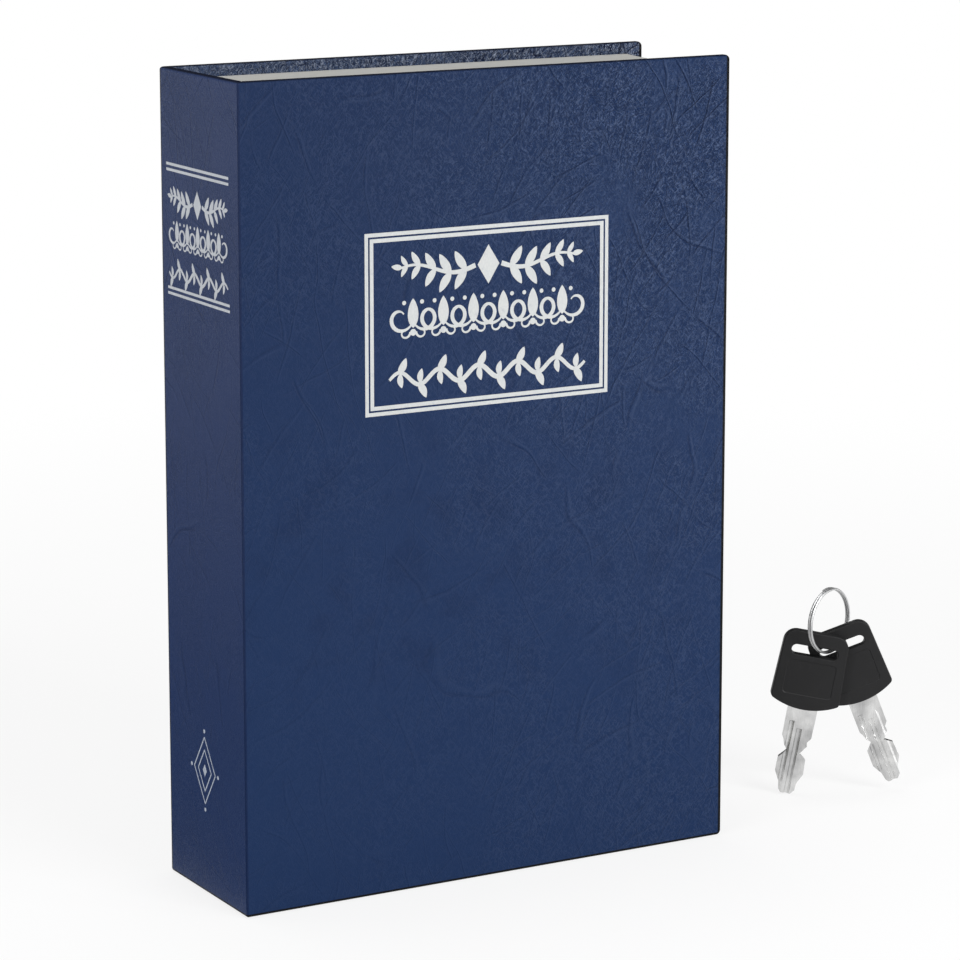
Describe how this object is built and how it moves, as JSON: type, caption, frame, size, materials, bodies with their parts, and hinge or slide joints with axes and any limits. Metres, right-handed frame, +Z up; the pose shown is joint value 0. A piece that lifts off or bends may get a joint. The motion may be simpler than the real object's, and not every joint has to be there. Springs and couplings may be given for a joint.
{
  "type": "book diversion safe",
  "caption": "Hard-bound book that opens on a locking steel box inside its page block, with keys on a split ring standing beside it.",
  "frame": {"origin": "foot of the back cover, half way along its length and in the middle of its thickness, on the ground", "axes": "+X from the spine to the fore-edge, +Y out of the back cover, +Z up the book; the front cover faces -Y"},
  "size_m": [0.2382, 0.052, 0.24],
  "materials": {
    "leatherette": "grained imitation leather, satin",
    "greyboard": "raw grey board",
    "lining_paper": "matt dark paper",
    "page_plastic": "matt, moulded with page lines",
    "black_steel": "black powder coat",
    "bright_steel": "zinc plated",
    "lock_chrome": "bright chrome",
    "brass": "stamped brass",
    "ring_steel": "bright spring steel",
    "blade_nickel": "nickel plated, satin",
    "bow_plastic": "black moulded, satin"
  },
  "bodies": {
    "book_case": {"spine_board": "greyboard", "back_board": "greyboard", "case_skin": "leatherette", "case_lining": "lining_paper", "page_frame": "page_plastic", "safe_box": "black_steel", "lower_hinge_box_leaf": "black_steel", "lower_hinge_pin": "bright_steel", "lower_hinge_box_rivet_low": "bright_steel", "lower_hinge_box_rivet_high": "bright_steel", "upper_hinge_box_leaf": "black_steel", "upper_hinge_pin": "bright_steel", "upper_hinge_box_rivet_low": "bright_steel", "upper_hinge_box_rivet_high": "bright_steel", "strike_bracket": "black_steel", "strike_rivet_low": "bright_steel", "strike_rivet_high": "bright_steel", "upper_spine_side_screw": "bright_steel", "upper_fore_side_screw": "bright_steel", "lower_spine_side_screw": "bright_steel", "lower_fore_side_screw": "bright_steel"},
    "front_cover": {"front_board": "greyboard", "front_cover_skin": "leatherette", "front_pastedown": "lining_paper"},
    "safe_lid": {"safe_lid": "black_steel", "lower_hinge_lid_leaf": "black_steel", "lower_hinge_lid_rivet_low": "bright_steel", "lower_hinge_lid_rivet_high": "bright_steel", "upper_hinge_lid_leaf": "black_steel", "upper_hinge_lid_rivet_low": "bright_steel", "upper_hinge_lid_rivet_high": "bright_steel", "lock_body": "lock_chrome", "lock_nut": "bright_steel"},
    "lock_plug": {"lock_plug": "lock_chrome", "lock_wafer_1": "brass", "lock_wafer_2": "brass", "lock_wafer_3": "brass", "lock_wafer_4": "brass", "lock_wafer_5": "brass", "lock_cam": "bright_steel", "cam_screw": "bright_steel"},
    "key_ring": {"key_ring": "ring_steel"},
    "front_key": {"front_key_blade": "blade_nickel", "front_key_bow": "bow_plastic"},
    "rear_key": {"rear_key_blade": "blade_nickel", "rear_key_bow": "bow_plastic"}
  },
  "joints": [
    {"name": "front_cover_hinge", "type": "hinge", "parent": "book_case", "child": "front_cover", "pos_m": [-0.081, -0.0505, 0], "axis": [0, 0, -1], "range_deg": [0, 180]},
    {"name": "safe_lid_hinge", "type": "hinge", "parent": "book_case", "child": "safe_lid", "pos_m": [-0.0711, -0.0449, 0], "axis": [0, 0, -1], "range_deg": [0, 105]},
    {"name": "lock_plug_turn", "type": "hinge", "parent": "safe_lid", "child": "lock_plug", "pos_m": [0.043, -0.0449, 0.12], "axis": [0, 1, 0], "range_deg": [0, 90]},
    {"name": "keys_lift", "type": "slide", "parent": "book_case", "child": "key_ring", "axis": [0, 0, 1], "range_m": [0, 0.1]},
    {"name": "front_key_swing", "type": "hinge", "parent": "key_ring", "child": "front_key", "pos_m": [0.13528, -0.02872, 0.04594], "axis": [0.4939, 0.8695, 0], "range_deg": [0, 25]},
    {"name": "rear_key_swing", "type": "hinge", "parent": "key_ring", "child": "rear_key", "pos_m": [0.13528, -0.02872, 0.04594], "axis": [0.4939, 0.8695, 0], "range_deg": [-15, 0]}
  ],
  "couplings": [
    {"joint": "safe_lid_hinge", "follows": "front_cover_hinge", "ratio": 0.58333}
  ]
}
